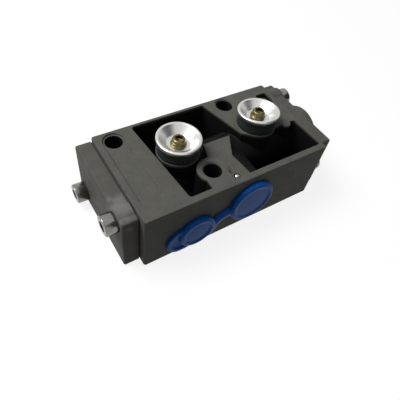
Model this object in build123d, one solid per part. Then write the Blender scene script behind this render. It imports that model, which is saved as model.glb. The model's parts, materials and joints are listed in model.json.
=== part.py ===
"""Shifting valve of a gearbox: a cored cast block with a spool, two end covers and two vented posts.

Millimetres, +Z up. X runs along the spool, the ported front face looks along -Y, and the origin
is the middle of the block's underside.
"""
import os
from math import cos, radians, sin

from build123d import *

os.makedirs("parts", exist_ok=True)

# How far a cut runs past the face that it opens, and a boss into the wall that carries it
beyond = 1.0
root = 1.0

# Cast block
block_length = 104.0
block_width = 56.0
block_height = 35.5
block_corner = 1.2
block_rim_round = 0.5
pocket_floor = 4.5
pocket_corner = 1.6
front_rim = 3.4
back_rim = 1.8
right_rim_back = 2.4
right_rim_front = 1.5
left_block_back = 20.0
left_block_front = 23.8

# Spool bore and the stack that fills it
bore_y = 2.2
bore_z = 18.0
bore_radius = 8.0
bore_wall = 4.4
port_pitch = 11.825
ports_centre_x = 4.95
exhaust_gap = 4 * port_pitch
seal_width = 3.0
spacer_past_left_land = 0.6
spacer_past_right_land = 1.2
stack_fit = 0.02
cage_bore = 5.3
seal_bore = 5.05
cage_window = 3.6
cage_window_count = 6
cage_groove = 1.2
cage_rim = 1.6
clip_thickness = 1.2
clip_groove_depth = 0.6
clip_land = 2.4
clip_reach = 1.7
clip_mouth = 70.0
clip_fit = 0.05

# Spool and what rides with it
spool_travel = 6.0
spool_land_radius = 5.0
spool_land_chamfer = 0.4
spool_stem_radius = 3.2
spool_overlap = 0.7
spigot_radius = 2.45
spigot_length = 4.0
spigot_fit = 0.05
piston_radius = 10.4
piston_thickness = 6.0
piston_chamfer = 0.5
piston_chamber_fit = 0.1
piston_seal_section = 1.1
piston_groove_fit = 0.2
end_gap = 0.4
seat_flange_radius = 8.6
seat_flange = 2.0
seat_sleeve_radius = 4.4
seat_sleeve = 2.5
spring_chamber_radius = 10.0
spring_mean_radius = 6.2
spring_wire = 1.4
spring_turns = 5.0
spring_fit = 0.02

# End covers
cover_thickness = 7.6
cover_front_inset = 4.4
cover_top_inset = 2.1
cover_round = 1.0
gasket_thickness = 0.6
gasket_inset = 0.4
dome_radius = 14.0
dome_reach = 5.3
dome_wall = 2.6
dome_bore_radius = 9.5
cover_pad_radius = 6.6
screw_spread_y = 18.6
screw_spread_z = 10.0
screw_boss_wall = 2.65
screw_hole_spare = 1.5

# Cover screws, M6 cylinder heads
cap_head_radius = 5.0
cap_head_height = 6.0
cap_head_round = 0.6
cap_socket_flats = 5.0
cap_socket_depth = 3.0
cap_shank_radius = 2.9
cap_shank_length = 19.0
cap_thread_fit = 0.05
cap_hole_radius = 3.3

# Vented posts on the two exhaust outlets
post_y = 2.9
post_wall = 0.4
filter_radius = 10.2
filter_bore = 8.4
exhaust_well_radius = 8.2
exhaust_hub_radius = 3.9
exhaust_spoke_width = 1.8
exhaust_spoke_count = 3
hub_floor_wall = 1.6
filter_seal_thickness = 0.8
filter_seal_inset = 0.2
cap_rim_radius = 11.0
cap_rim_height = 8.2
cap_skirt = 1.8
cap_sheet = 0.9
cap_dish_depth = 4.1
cap_dish_flat = 4.6
cap_rim_width = 1.3
cap_rim_round = 0.5
cap_lean = {"left": 0.0, "right": 5.5}
torx_head_radius = 3.4
torx_collar_radius = 4.1
torx_collar = 1.0
torx_collar_edge = 0.4
torx_head_height = 3.9
torx_crown = 0.9
torx_lobe_radius = 0.62
torx_lobe_circle = 1.65
torx_depth = 2.0
torx_shank_radius = 2.4
torx_thread_fit = 0.05
torx_shank_in_block = 7.0
torx_tip_gap = 0.5
torx_hole_fit = 0.6

# Bolt holes and the bracket seat
bolt_hole_radius = 4.5
bolt_boss_radius = 7.7
bolt_rim_chamfer = 0.9
back_hole_x = 21.4
back_hole_y = 21.9
front_hole_x = -10.2
front_hole_y = -15.1
bracket_hole_x = -43.4
bracket_hole_y = 21.0
bracket_hole_radius = 4.4
bracket_hole_depth = 21.0
bracket_seat_width = 10.8
bracket_seat_depth = 0.7
bracket_seat_length = 49.0

# Lands between the pockets
web_top_x = 10.0
web_tip_x = 16.8
web_tip_y = -0.8
web_step = 4.2
right_land_y = -4.3
plateau_drop = 1.8
plateau_from_hole = 5.8
plateau_past_supply = 5.2
plateau_neck = 1.5
plateau_neck_back = 17.8
hole_foot_inset = 1.6
side_recess_wall = 2.8
side_recess_length = 7.3
side_recess_width = 8.8
side_recess_depth = 3.0
side_recess_y = 16.9
corner_rib_radius = 2.6
corner_rib_x = 43.5

# Front ports and their moulded cover
supply_x = 6.2
supply_z = 18.7
supply_bore_radius = 8.2
supply_bore_depth = 12.0
supply_boss_radius = 12.2
supply_duct_radius = 4.2
pilot_x = -25.0
pilot_z = 13.5
pilot_bore_radius = 5.6
pilot_bore_depth = 14.0
pilot_boss_radius = 8.6
pilot_gallery_radius = 1.5
pilot_gallery_inset = 6.6
pilot_slot_depth = 2.4
plug_fit = 0.08
plug_wall = 1.2
plug_floor = 1.0
plug_depth = 7.0
supply_cap_radius = 12.8
pilot_cap_radius = 9.9
port_cap_reach = 3.2
port_cap_round = 2.7
strap_width = 7.0
strap_reach = 2.0
strap_edge_round = 1.2
strap_foot_across = 7.6
strap_foot_drop = 7.3
strap_rise_across = 10.8
strap_rise_drop = 1.0
strap_crest_across = 14.9
strap_crest_drop = 2.5
strap_end_across = 6.4
strap_end_drop = 2.0
tab_reach = 16.0
tab_height = 16.5
tab_round = 7.8
tab_z = 10.9

# Work ports on the underside
work_port_radius = 3.0
work_seat_radius = 6.3
work_seat_depth = 1.7

# Plug of the vent gallery
ball_radius = 1.6
ball_fit = 0.02
ball_x = -0.9
ball_inset = 5.7
ball_proud = 0.5
vent_depth = 6.4

half_length = block_length / 2
half_width = block_width / 2
front_y = -half_width
ball_y = front_y + ball_inset
post_x = {"left": ports_centre_x - exhaust_gap / 2, "right": ports_centre_x + exhaust_gap / 2}
seal_x = [ports_centre_x + (i - 2.5) * port_pitch for i in range(6)]
port_x = [ports_centre_x + (i - 2) * port_pitch for i in range(5)]
boss_radius = bore_radius + bore_wall
seal_land = seal_width / 2 + spool_overlap
stack_start = seal_x[0] - seal_land - spool_travel - spacer_past_left_land
stack_end = seal_x[-1] + seal_land + spacer_past_right_land
clip_x = {"left": stack_start - clip_thickness, "right": stack_end}
bore_start = clip_x["left"] - clip_land
bore_end = stack_end + clip_thickness + clip_land
cover_inner_x = half_length + gasket_thickness
cover_outer_x = cover_inner_x + cover_thickness
cover_height = block_height - cover_top_inset
cover_width = block_width - cover_front_inset
cover_y = half_width - cover_width / 2
piston_left_x = -cover_inner_x + end_gap
piston_right_x = piston_left_x + piston_thickness
piston_chamber_radius = piston_radius + piston_chamber_fit
piston_seal_centre = piston_radius + piston_chamber_fit / 2 - piston_seal_section / 2
seat_left_x = bore_end + end_gap
seat_right_x = seat_left_x + seat_flange
dome_floor_x = cover_outer_x + dome_reach - dome_wall
filter_bottom = block_height + filter_seal_thickness
rim_z = block_height + cap_rim_height
dish_z = rim_z - cap_dish_depth
dish_edge = cap_rim_radius - cap_rim_width
pocket_front = front_y + front_rim
pilot_gallery_y = front_y + pilot_gallery_inset
screw_hole_depth = cap_shank_length - cover_thickness - gasket_thickness + screw_hole_spare
screw_core_radius = cap_shank_radius + cap_thread_fit


def cylinder_x(radius, x_from, x_to, y, z):
    """Cylinder along X between two stations."""
    plane = Plane(origin=(x_from, y, z), x_dir=(0, 1, 0), z_dir=(1, 0, 0))
    return extrude(plane * Circle(radius), x_to - x_from)


def cylinder_y(radius, y_from, y_to, x, z):
    """Cylinder along Y between two stations."""
    plane = Plane(origin=(x, y_from, z), x_dir=(1, 0, 0), z_dir=(0, 1, 0))
    return extrude(plane * Circle(radius), y_to - y_from)


def cylinder_z(radius, z_from, z_to, x, y):
    """Cylinder along Z between two heights."""
    return extrude(Plane.XY.offset(z_from) * Pos(x, y) * Circle(radius), z_to - z_from)


def ring_x(outer, inner, x_from, x_to):
    """Ring on the spool axis."""
    whole = cylinder_x(outer, x_from, x_to, bore_y, bore_z)
    return whole - cylinder_x(inner, x_from - beyond, x_to + beyond, bore_y, bore_z)


def prism_z(points, z_from, z_to, corner=0.0):
    """Upright prism on a closed outline, with its corners rounded."""
    face = make_face(Polyline(*points, close=True))
    if corner:
        face = fillet(face.vertices(), corner)
    return extrude(Plane.XY.offset(z_from) * face, z_to - z_from)


def cover_screw_places(side):
    """Y and Z of a cover's two screws: they stand on opposite diagonals at the two ends."""
    way = -1 if side == "left" else 1
    return [
        (bore_y + way * screw_spread_y, bore_z + screw_spread_z),
        (bore_y - way * screw_spread_y, bore_z - screw_spread_z),
    ]


def blank_block():
    """The block before coring, with its cast corners."""
    block = extrude(Rectangle(block_length, block_width), block_height)
    block = fillet(block.edges().filter_by(Axis.Z), block_corner)
    rims = block.edges().group_by(Axis.Z)
    return fillet(rims[-1] + rims[0], block_rim_round)


def pocket_outline():
    """Corners of the cored pocket; what stays beside it is the web that carries the right post."""
    back = half_width - back_rim
    return [
        (-half_length + left_block_back, back),
        (web_top_x, back),
        (web_tip_x, web_tip_y),
        (web_tip_x + web_step, right_land_y),
        (half_length - right_rim_back, right_land_y),
        (half_length - right_rim_front, pocket_front),
        (-half_length + left_block_front, pocket_front),
    ]


def plateau_outline():
    """Roof of the supply gallery, a land a little below the rim."""
    return [
        (front_hole_x + plateau_from_hole, bore_y),
        (supply_x + plateau_past_supply, bore_y),
        (supply_x - plateau_neck, front_y + plateau_neck_back),
        (supply_x, pocket_front - root),
        (front_hole_x, pocket_front - root),
        (front_hole_x, front_hole_y),
    ]


def core_fillings():
    """Bosses, ducts and lands that stand inside the pocket."""
    top = block_height
    low = pocket_floor - root
    tube_start = -half_length + left_block_back - root
    parts = [cylinder_x(boss_radius, tube_start, half_length - root, bore_y, bore_z)]
    for side in ("left", "right"):
        parts.append(cylinder_z(filter_radius + post_wall, low, top, post_x[side], post_y))
    parts.append(cylinder_z(bolt_boss_radius, low, top, front_hole_x, front_hole_y))
    foot_left = front_hole_x - bolt_boss_radius + hole_foot_inset
    foot_right = front_hole_x + bolt_boss_radius - hole_foot_inset
    foot = [
        (foot_left, pocket_front - root),
        (foot_right, pocket_front - root),
        (foot_right, front_hole_y),
        (foot_left, front_hole_y),
    ]
    parts.append(prism_z(foot, low, top))
    parts.append(prism_z(plateau_outline(), low, top - plateau_drop))
    parts.append(cylinder_y(supply_boss_radius, front_y + root, bore_y, supply_x, supply_z))
    parts.append(cylinder_y(pilot_boss_radius, front_y + root, bore_y, pilot_x, pilot_z))
    screw_y, screw_z = cover_screw_places("right")[1]
    screw_boss_end = half_length - screw_hole_depth - screw_boss_wall
    screw_boss_radius = screw_core_radius + screw_boss_wall
    parts.append(cylinder_x(screw_boss_radius, screw_boss_end, half_length - root, screw_y, screw_z))
    parts.append(cylinder_z(corner_rib_radius, low, top, corner_rib_x, right_land_y))
    return parts


def exhaust_well(side):
    """Annular outlet under a post: its hub holds the clamping screw on spokes."""
    x = post_x[side]
    hub_floor = block_height - torx_shank_in_block - hub_floor_wall
    well = cylinder_z(exhaust_well_radius, bore_z, block_height + beyond, x, post_y)
    well -= cylinder_z(exhaust_hub_radius, hub_floor, block_height + beyond, x, post_y)
    spoke = Pos(x, post_y, hub_floor) * Box(
        2 * exhaust_well_radius,
        exhaust_spoke_width,
        block_height - hub_floor + beyond,
        align=(Align.MIN, Align.CENTER, Align.MIN),
    )
    for i in range(exhaust_spoke_count):
        turn = Pos(x, post_y) * Rot(0, 0, 90 + 360 * i / exhaust_spoke_count) * Pos(-x, -post_y)
        well -= turn * spoke
    core = torx_shank_radius + torx_thread_fit
    thread = cylinder_z(core, block_height - torx_shank_in_block, block_height + beyond, x, post_y)
    return well, thread


def clip_groove(side):
    """Groove of a retaining ring, beside the stack."""
    return cylinder_x(
        bore_radius + clip_groove_depth, clip_x[side], clip_x[side] + clip_thickness, bore_y, bore_z
    )


def valve_body():
    """Cast block: cored from above, bored along X, ported at the front, below and above."""
    body = blank_block()
    body -= prism_z(pocket_outline(), pocket_floor, block_height + beyond, pocket_corner)
    for part in core_fillings():
        body += part
    body -= side_recess()
    body -= cylinder_x(bore_radius, -half_length, half_length, bore_y, bore_z)
    body -= cylinder_x(piston_chamber_radius, -half_length - beyond, bore_start, bore_y, bore_z)
    body -= cylinder_x(spring_chamber_radius, bore_end, half_length + beyond, bore_y, bore_z)
    for side in ("left", "right"):
        well, thread = exhaust_well(side)
        body = body - well - thread - clip_groove(side) - cover_screw_holes(side)

    supply_end = front_y + supply_bore_depth
    pilot_end = front_y + pilot_bore_depth
    body -= cylinder_y(supply_bore_radius, front_y - beyond, supply_end, supply_x, supply_z)
    body -= cylinder_y(supply_duct_radius, front_y, bore_y, port_x[2], bore_z)
    body -= cylinder_y(pilot_bore_radius, front_y - beyond, pilot_end, pilot_x, pilot_z)
    gallery_start = -half_length - beyond
    body -= cylinder_x(pilot_gallery_radius, gallery_start, pilot_x, pilot_gallery_y, pilot_z)

    for x in (port_x[1], port_x[3]):
        body -= cylinder_z(work_port_radius, -beyond, bore_z, x, bore_y)
        body -= cylinder_z(work_seat_radius, -beyond, work_seat_depth, x, bore_y)
    for x, y in ((back_hole_x, back_hole_y), (front_hole_x, front_hole_y)):
        body -= cylinder_z(bolt_hole_radius, -beyond, block_height + beyond, x, y)
        rim = Cone(bolt_hole_radius, bolt_hole_radius + bolt_rim_chamfer, bolt_rim_chamfer)
        body -= Pos(x, y, block_height - bolt_rim_chamfer / 2) * rim
    return body - bracket_seat() - vent_gallery()


def side_recess():
    """Shallow cored recess beside the right rim, behind the right post."""
    floor = Plane.XY.offset(block_height - side_recess_depth)
    middle = Pos(half_length - side_recess_wall - side_recess_length / 2, side_recess_y)
    outline = RectangleRounded(side_recess_length, side_recess_width, pocket_corner)
    return extrude(floor * middle * outline, side_recess_depth + beyond)


def cover_screw_holes(side):
    """Tapped holes of a cover's screws, open at the block's end face."""
    places = cover_screw_places(side)
    holes = []
    for y, z in places:
        start = half_length - screw_hole_depth
        hole = cylinder_x(screw_core_radius, start, half_length + beyond, y, z)
        holes.append(hole if side == "right" else mirror(hole, Plane.YZ))
    return holes


def bracket_seat():
    """Shallow milled seat on the left block with its blind tapped hole."""
    y_back = bracket_hole_y + bracket_seat_width / 2
    slot = Pos(bracket_hole_x, y_back - bracket_seat_length / 2) * Rot(0, 0, 90) * SlotOverall(
        bracket_seat_length, bracket_seat_width
    )
    floor = Plane.XY.offset(block_height - bracket_seat_depth)
    seat = extrude(floor * slot, bracket_seat_depth + beyond)
    return seat + cylinder_z(
        bracket_hole_radius,
        block_height - bracket_hole_depth,
        block_height + beyond,
        bracket_hole_x,
        bracket_hole_y,
    )


def vent_gallery():
    """Drilled gallery from the plateau, closed by a pressed ball."""
    floor = block_height - plateau_drop - vent_depth
    return cylinder_z(ball_radius + ball_fit, floor, block_height + beyond, ball_x, ball_y)


def gallery_ball():
    """Steel ball that closes the vent gallery."""
    z = block_height - plateau_drop + ball_proud - ball_radius
    return Pos(ball_x, ball_y, z) * Sphere(ball_radius)


def cover_outline_face(inset=0.0):
    """Rounded outline of a cover in its own plane, Y across and Z up, drawn in by an inset."""
    width = cover_width - 2 * inset
    height = cover_height - 2 * inset
    return Pos(cover_y, cover_height / 2) * RectangleRounded(width, height, block_corner)


def end_cover(side):
    """Cast cover plate with screw pads; the right one carries the dome over the spring."""
    plane = Plane(origin=(cover_inner_x, 0, 0), x_dir=(0, 1, 0), z_dir=(1, 0, 0))
    cover = extrude(plane * cover_outline_face(), cover_thickness)
    cover = fillet(cover.edges().group_by(Axis.X)[-1], cover_round)
    places = cover_screw_places(side)
    for y, z in places:
        cover += cylinder_x(cover_pad_radius, cover_inner_x, cover_outer_x, y, z)
    if side == "right":
        dome = cylinder_x(dome_radius, cover_inner_x, cover_outer_x + dome_reach, bore_y, bore_z)
        cover += fillet(dome.edges().group_by(Axis.X)[-1], cover_round)
        cover -= cylinder_x(dome_bore_radius, cover_inner_x - beyond, dome_floor_x, bore_y, bore_z)
    else:
        cover -= pilot_slot()
    for y, z in places:
        cover -= cylinder_x(cap_hole_radius, cover_inner_x - beyond, cover_outer_x + beyond, y, z)
    return cover if side == "right" else mirror(cover, Plane.YZ)


def pilot_slot():
    """Groove in the left cover that leads pilot air from its gallery to the piston."""
    return Pos(cover_inner_x, pilot_gallery_y - pilot_gallery_radius, pilot_z) * Box(
        2 * pilot_slot_depth,
        bore_y - pilot_gallery_y,
        2 * pilot_gallery_radius,
        align=(Align.CENTER, Align.MIN, Align.CENTER),
    )


def cover_gasket(side):
    """Flat gasket between the block and a cover."""
    plane = Plane(origin=(half_length, 0, 0), x_dir=(0, 1, 0), z_dir=(1, 0, 0))
    gasket = extrude(plane * cover_outline_face(gasket_inset), gasket_thickness)
    opening = piston_chamber_radius if side == "left" else spring_chamber_radius
    cuts = [(opening, bore_y, bore_z)]
    cuts += [(cap_hole_radius, y, z) for y, z in cover_screw_places(side)]
    if side == "left":
        cuts.append((pilot_gallery_radius, pilot_gallery_y, pilot_z))
    for radius, y, z in cuts:
        gasket -= cylinder_x(radius, half_length - beyond, cover_inner_x + beyond, y, z)
    return gasket if side == "right" else mirror(gasket, Plane.YZ)


def cap_screw(side, y, z):
    """Socket head cap screw through a cover into the block."""
    head = cylinder_x(cap_head_radius, cover_outer_x, cover_outer_x + cap_head_height, y, z)
    head = fillet(head.edges().group_by(Axis.X)[-1], cap_head_round)
    head += cylinder_x(cap_shank_radius, cover_outer_x - cap_shank_length, cover_outer_x, y, z)
    socket_plane = Plane(
        origin=(cover_outer_x + cap_head_height, y, z), x_dir=(0, 1, 0), z_dir=(-1, 0, 0)
    )
    hexagon = RegularPolygon(cap_socket_flats / 2, 6, major_radius=False)
    head -= extrude(socket_plane * hexagon, cap_socket_depth)
    return head if side == "right" else mirror(head, Plane.YZ)


def cover_screws(side):
    """The two screws of one cover."""
    return Compound(children=[cap_screw(side, y, z) for y, z in cover_screw_places(side)])


def spool():
    """Turned spool: five lands on a stem, placed by the seals they have to open and close."""
    shaft_left = piston_right_x - spigot_length
    shaft_right = seat_right_x
    body = cylinder_x(spigot_radius, shaft_left, shaft_right, bore_y, bore_z)
    body += cylinder_x(spool_stem_radius, piston_right_x, seat_left_x, bore_y, bore_z)
    spans = [
        (seal_x[0] - spool_travel - seal_land, seal_x[0] + seal_land),
        (seal_x[1] - spool_travel - seal_land, seal_x[1] - spool_travel + seal_land),
        (seal_x[2] - seal_land, seal_x[3] - spool_travel + seal_land),
        (seal_x[4] - seal_land, seal_x[4] + seal_land),
        (seal_x[5] - spool_travel - seal_land, seal_x[5] + seal_land),
    ]
    for x_from, x_to in spans:
        land = cylinder_x(spool_land_radius, x_from, x_to, bore_y, bore_z)
        body += chamfer(land.edges(), spool_land_chamfer)
    return body


def port_cages():
    """Windowed cages between the seals, one at each port, and a plain spacer at each end."""
    outer = bore_radius - stack_fit
    cages = []
    for x in port_x:
        half = (port_pitch - seal_width) / 2
        cage = ring_x(outer, cage_bore, x - half, x + half)
        waist = outer - cage_groove
        cage -= ring_x(outer + beyond, waist, x - half + cage_rim, x + half - cage_rim)
        for i in range(cage_window_count):
            turn = 360 * i / cage_window_count
            window = cylinder_z(cage_window / 2, 0, 2 * outer, 0, 0)
            cage -= Pos(x, bore_y, bore_z) * Rot(turn, 0, 0) * window
        cages.append(cage)
    cages.append(ring_x(outer, cage_bore, stack_start, seal_x[0] - seal_width / 2))
    cages.append(ring_x(outer, cage_bore, seal_x[-1] + seal_width / 2, stack_end))
    return Compound(children=cages)


def spool_seals():
    """The six rings between the cages: each seals on the bore and on the spool."""
    outer = bore_radius - stack_fit
    half = seal_width / 2
    return Compound(children=[ring_x(outer, seal_bore, x - half, x + half) for x in seal_x])


def retaining_ring(side):
    """Open ring in the bore that keeps the stack together."""
    x_from = clip_x[side] + clip_fit
    x_to = clip_x[side] + clip_thickness - clip_fit
    outer = bore_radius + clip_groove_depth - clip_fit
    ring = ring_x(outer, bore_radius - clip_reach, x_from, x_to)
    mouth = 2 * bore_radius * sin(radians(clip_mouth / 2))
    gap = Box(2 * clip_thickness, mouth, 2 * bore_radius, align=(Align.CENTER, Align.CENTER, Align.MAX))
    return ring - Pos((x_from + x_to) / 2, bore_y, bore_z) * gap


def pilot_piston():
    """Piston on the spool's left end, with its seal groove."""
    piston = cylinder_x(piston_radius, piston_left_x, piston_right_x, bore_y, bore_z)
    piston = chamfer(piston.edges(), piston_chamfer)
    middle = (piston_left_x + piston_right_x) / 2
    half = piston_seal_section / 2 + piston_groove_fit
    groove_floor = piston_seal_centre - piston_seal_section / 2
    piston -= ring_x(piston_radius + beyond, groove_floor, middle - half, middle + half)
    hole = spigot_radius + spigot_fit
    hole_end = piston_right_x - spigot_length - spigot_fit
    return piston - cylinder_x(hole, hole_end, piston_right_x + beyond, bore_y, bore_z)


def pilot_piston_seal():
    """Round ring in the piston's groove."""
    middle = (piston_left_x + piston_right_x) / 2
    plane = Plane(origin=(middle, bore_y, bore_z), x_dir=(0, 1, 0), z_dir=(1, 0, 0))
    return plane * Torus(piston_seal_centre, piston_seal_section / 2)


def spring_seat():
    """Flanged bush on the spool's right end."""
    seat = cylinder_x(seat_flange_radius, seat_left_x, seat_right_x, bore_y, bore_z)
    seat += cylinder_x(seat_sleeve_radius, seat_right_x, seat_right_x + seat_sleeve, bore_y, bore_z)
    hole = spigot_radius + spigot_fit
    return seat - cylinder_x(hole, seat_left_x - beyond, seat_right_x + spigot_fit, bore_y, bore_z)


def return_spring():
    """Coil spring between the seat and the dome."""
    wire = spring_wire / 2
    start = seat_right_x + wire + spring_fit
    length = dome_floor_x - wire - spring_fit - start
    path = Plane(origin=(start, bore_y, bore_z), x_dir=(0, 1, 0), z_dir=(1, 0, 0)) * Helix(
        pitch=length / spring_turns, height=length, radius=spring_mean_radius
    )
    section = Plane(origin=path @ 0, z_dir=path % 0) * Circle(wire)
    return sweep(section, path=path, is_frenet=True)


def lean(side, part):
    """Turn a cap about the middle of its dish, as it sits on its soft filter."""
    pivot = Pos(post_x[side], post_y, dish_z)
    return pivot * Rot(-cap_lean[side], 0, 0) * pivot.inverse() * part


def cap_underside():
    """Half section of a cap's underside, from its middle out to the edge of its skirt."""
    return [
        (0, dish_z - cap_sheet),
        (cap_dish_flat, dish_z - cap_sheet),
        (dish_edge, rim_z - cap_sheet),
        (cap_rim_radius - cap_sheet, rim_z - cap_sheet),
        (cap_rim_radius - cap_sheet, rim_z - cap_skirt),
        (cap_rim_radius, rim_z - cap_skirt),
    ]


def dished_cap(side):
    """Spun cap with a rolled rim, a conical dish and a flat for its screw."""
    upper = [(cap_rim_radius, rim_z), (dish_edge, rim_z), (cap_dish_flat, dish_z), (0, dish_z)]
    face = make_face(Plane.XZ * Polyline(*(cap_underside() + upper), close=True))
    face = fillet(face.vertices().group_by(Axis.Z)[-1], cap_rim_round)
    hole = torx_shank_radius + torx_hole_fit
    cap = revolve(face, Axis.Z) - cylinder_z(hole, dish_z - cap_sheet - beyond, dish_z + beyond, 0, 0)
    return lean(side, Pos(post_x[side], post_y, 0) * cap)


def cap_envelope(side):
    """The cap with the space above it, for trimming the filter to its underside."""
    above = [(cap_rim_radius, rim_z + cap_rim_height), (0, rim_z + cap_rim_height)]
    face = make_face(Plane.XZ * Polyline(*(cap_underside() + above), close=True))
    return lean(side, Pos(post_x[side], post_y, 0) * revolve(face, Axis.Z))


def exhaust_filter(side):
    """Porous sleeve under a cap, pressed to the lean of that cap."""
    x = post_x[side]
    tube = cylinder_z(filter_radius, filter_bottom, rim_z, x, post_y)
    tube -= cylinder_z(filter_bore, filter_bottom - beyond, rim_z + beyond, x, post_y)
    return tube - cap_envelope(side)


def filter_seal(side):
    """Flat ring under a filter."""
    x = post_x[side]
    ring = cylinder_z(filter_radius, block_height, filter_bottom, x, post_y)
    opening = exhaust_well_radius + filter_seal_inset
    return ring - cylinder_z(opening, block_height - beyond, filter_bottom + beyond, x, post_y)


def torx_socket():
    """Six lobed recess of a screw head, at the origin and opening upwards."""
    core = Circle(torx_lobe_circle)
    for i in range(6):
        angle = radians(60 * i)
        core += Pos(torx_lobe_circle * cos(angle), torx_lobe_circle * sin(angle)) * Circle(torx_lobe_radius)
    return extrude(core, torx_depth + beyond)


def torx_screw(side):
    """Collared pan head screw that clamps a cap to the hub of its outlet."""
    seat = dish_z + torx_collar_radius * sin(radians(cap_lean[side]))
    top = seat + torx_head_height
    head = cylinder_z(torx_head_radius, seat, top, 0, 0)
    head = fillet(head.edges().group_by(Axis.Z)[-1], torx_crown)
    collar = cylinder_z(torx_collar_radius, seat, seat + torx_collar, 0, 0)
    collar = chamfer(collar.edges().group_by(Axis.Z)[-1], torx_collar_edge)
    tip = block_height - torx_shank_in_block + torx_tip_gap
    screw = head + collar + cylinder_z(torx_shank_radius, tip, seat, 0, 0)
    screw -= Pos(0, 0, top - torx_depth) * torx_socket()
    return Pos(post_x[side], post_y, 0) * screw


def soft_front(part, edge):
    """Rounds the edges of a part's face that looks to the front."""
    return fillet(part.edges().group_by(Axis.Y)[0], edge)


def port_cap(radius, x, z):
    """Soft disc that stands on the front face."""
    return soft_front(cylinder_y(radius, front_y - port_cap_reach, front_y, x, z), port_cap_round)


def plug_skirt(radius, x, z):
    """Hollow spigot that holds the cover in a port."""
    outer = radius - plug_fit
    end = front_y + plug_depth
    skirt = cylinder_y(outer, front_y, end, x, z)
    return skirt - cylinder_y(outer - plug_wall, front_y + plug_floor, end + beyond, x, z)


def port_cover():
    """Moulded strip that blanks both front ports: two caps, a curved strap and a pull tab."""
    cover = port_cap(supply_cap_radius, supply_x, supply_z) + port_cap(pilot_cap_radius, pilot_x, pilot_z)
    front_plane = Plane(origin=(0, front_y, 0), x_dir=(1, 0, 0), z_dir=(0, -1, 0))
    tab_outline = RectangleRounded(tab_reach + root, tab_height, tab_round)
    tab = extrude(front_plane * Pos(pilot_x - (tab_reach - root) / 2, tab_z) * tab_outline, strap_reach)
    cover += soft_front(tab, strap_edge_round)
    foot = (pilot_x + strap_foot_across, pilot_z - strap_foot_drop)
    line = Spline(
        foot,
        (pilot_x + strap_rise_across, pilot_z - strap_rise_drop),
        (supply_x - strap_crest_across, supply_z - strap_crest_drop),
        (supply_x - strap_end_across, supply_z - strap_end_drop),
    )
    strap_outline = trace(line, strap_width) + Pos(*foot) * Circle(strap_width / 2)
    cover += soft_front(extrude(front_plane * strap_outline, strap_reach), strap_edge_round)
    cover += plug_skirt(supply_bore_radius, supply_x, supply_z)
    return cover + plug_skirt(pilot_bore_radius, pilot_x, pilot_z)


def main():
    """Build every piece and write one file for each."""
    nodes = {"valve_body": valve_body(), "gallery_ball": gallery_ball(), "port_cover": port_cover()}
    for side in ("left", "right"):
        nodes[f"{side}_end_cover"] = end_cover(side)
        nodes[f"{side}_cover_gasket"] = cover_gasket(side)
        nodes[f"{side}_cover_screws"] = cover_screws(side)
        nodes[f"{side}_retaining_ring"] = retaining_ring(side)
        nodes[f"{side}_dished_cap"] = dished_cap(side)
        nodes[f"{side}_exhaust_filter"] = exhaust_filter(side)
        nodes[f"{side}_filter_seal"] = filter_seal(side)
        nodes[f"{side}_torx_screw"] = torx_screw(side)
    nodes["spool"] = spool()
    nodes["port_cages"] = port_cages()
    nodes["spool_seals"] = spool_seals()
    nodes["pilot_piston"] = pilot_piston()
    nodes["pilot_piston_seal"] = pilot_piston_seal()
    nodes["spring_seat"] = spring_seat()
    nodes["return_spring"] = return_spring()
    for name, part in nodes.items():
        export_step(part, f"parts/{name}.step")


if __name__ == "__main__":
    main()
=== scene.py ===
"""Looks of a gearbox shifting valve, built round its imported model.

Metres, +Z up, in the model's own frame. X runs along the spool, and the ported front face looks along -Y.
"""

import json
import logging
import math
from dataclasses import dataclass, field
from enum import Enum
from typing import Callable, Iterable, Sequence

import bpy
from mathutils import Matrix, Quaternion, Vector


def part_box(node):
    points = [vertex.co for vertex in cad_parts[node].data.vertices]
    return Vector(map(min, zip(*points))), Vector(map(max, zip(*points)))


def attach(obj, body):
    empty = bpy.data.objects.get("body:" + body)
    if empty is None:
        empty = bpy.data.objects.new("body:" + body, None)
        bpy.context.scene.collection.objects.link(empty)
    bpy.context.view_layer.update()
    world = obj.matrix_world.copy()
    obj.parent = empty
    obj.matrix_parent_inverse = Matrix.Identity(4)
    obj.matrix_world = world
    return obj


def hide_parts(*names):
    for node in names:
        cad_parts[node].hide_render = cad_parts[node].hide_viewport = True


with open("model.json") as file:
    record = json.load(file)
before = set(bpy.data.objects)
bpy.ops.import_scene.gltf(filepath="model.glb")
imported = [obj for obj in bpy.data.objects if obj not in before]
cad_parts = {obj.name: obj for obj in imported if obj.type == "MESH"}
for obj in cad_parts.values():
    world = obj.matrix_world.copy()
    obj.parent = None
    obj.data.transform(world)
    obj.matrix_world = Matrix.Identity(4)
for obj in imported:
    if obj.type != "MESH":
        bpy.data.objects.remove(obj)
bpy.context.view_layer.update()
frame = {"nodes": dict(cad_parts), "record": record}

log = logging.getLogger("shifting_valve")
MM = 0.001
Colour = tuple[float, float, float]
Socket = bpy.types.NodeSocket


class Side(Enum):
    """The two ends of the valve along the spool."""

    LEFT = "left"
    RIGHT = "right"

    @property
    def way(self) -> int:
        """Direction of this end along X."""
        return -1 if self is Side.LEFT else 1

    def node(self, piece: str) -> str:
        """Name of this end's copy of a node."""
        return f"{self.value}_{piece}"


class Body(Enum):
    """Bodies of the model that pieces ride on."""

    HOUSING = "housing"
    SPOOL = "spool_train"


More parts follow.
